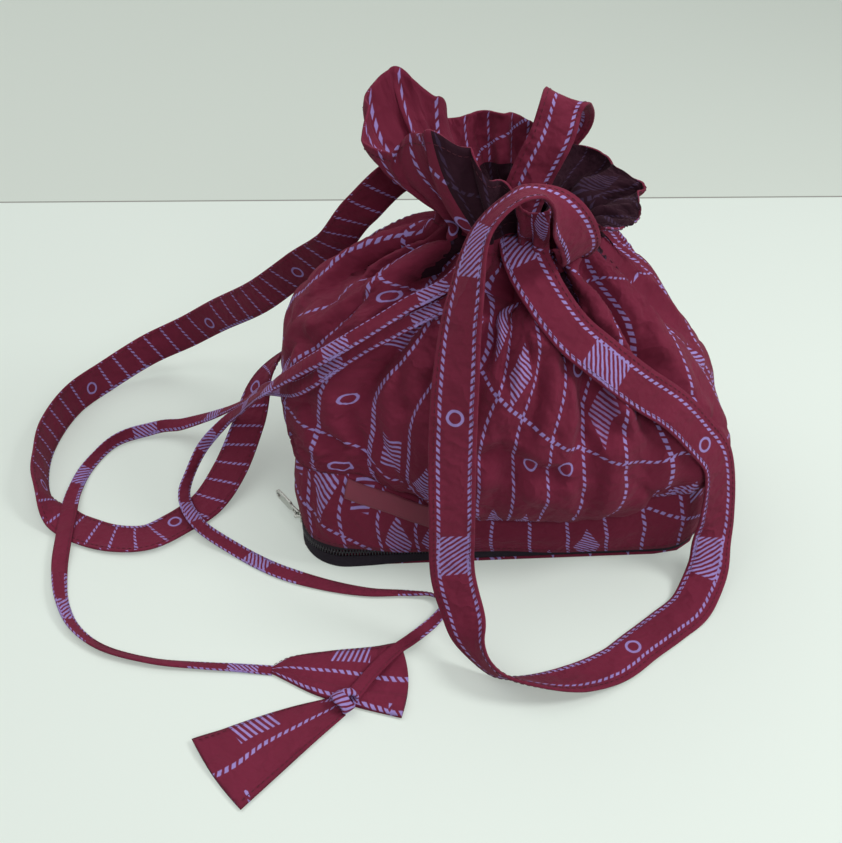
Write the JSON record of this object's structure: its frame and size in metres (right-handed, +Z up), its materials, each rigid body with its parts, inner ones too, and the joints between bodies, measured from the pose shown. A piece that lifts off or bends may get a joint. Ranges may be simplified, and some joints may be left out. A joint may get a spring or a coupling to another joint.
{
  "type": "drawstring tote bag",
  "caption": "Soft cotton tote gathered at the neck by a drawstring, with a frilled mouth, shoulder straps and a zipped base pocket.",
  "frame": {"origin": "middle of the underside of the base panel, on the surface that the bag stands on", "axes": "+Z up, +X to the bag's right as its front is faced, -Y out of the front with the label"},
  "size_m": [0.5107, 0.4436, 0.3178],
  "materials": {
    "printed_cotton": "plain weave cotton with a violet print",
    "lining": "plain weave cotton",
    "zip_tape": "woven tape",
    "zip_coil": "moulded coil",
    "zip_metal": "nickel plated",
    "woven_label": "satin woven"
  },
  "bodies": {
    "bag": {"base_panel": "printed_cotton", "zip_tape_lower": "zip_tape", "zip_tape_upper": "zip_tape", "zip_coil_lower": "zip_coil", "zip_coil_upper": "zip_coil", "zip_stop_left": "zip_metal", "zip_stop_right": "zip_metal", "rear_gusset": "printed_cotton", "lower_band": "printed_cotton", "inner_floor": "lining", "label": "woven_label", "bag_body": "printed_cotton", "front_strap": "printed_cotton", "rear_strap": "printed_cotton", "drawstring_left_leg": "printed_cotton", "drawstring_right_leg": "printed_cotton", "upper_tail": "printed_cotton", "lower_tail": "printed_cotton", "drawstring_knot": "printed_cotton"},
    "slider": {"zip_slider": "zip_metal"},
    "pull": {"zip_pull": "zip_metal"}
  },
  "joints": [
    {"name": "zip_slide", "type": "slide", "parent": "bag", "child": "slider", "axis": [0, 1, 0], "range_m": [-0.003, 0.048]},
    {"name": "pull_swing", "type": "hinge", "parent": "slider", "child": "pull", "pos_m": [-0.14815, -0.032, 0.0126], "axis": [0, 0, 1], "range_deg": [-28, 140]}
  ]
}
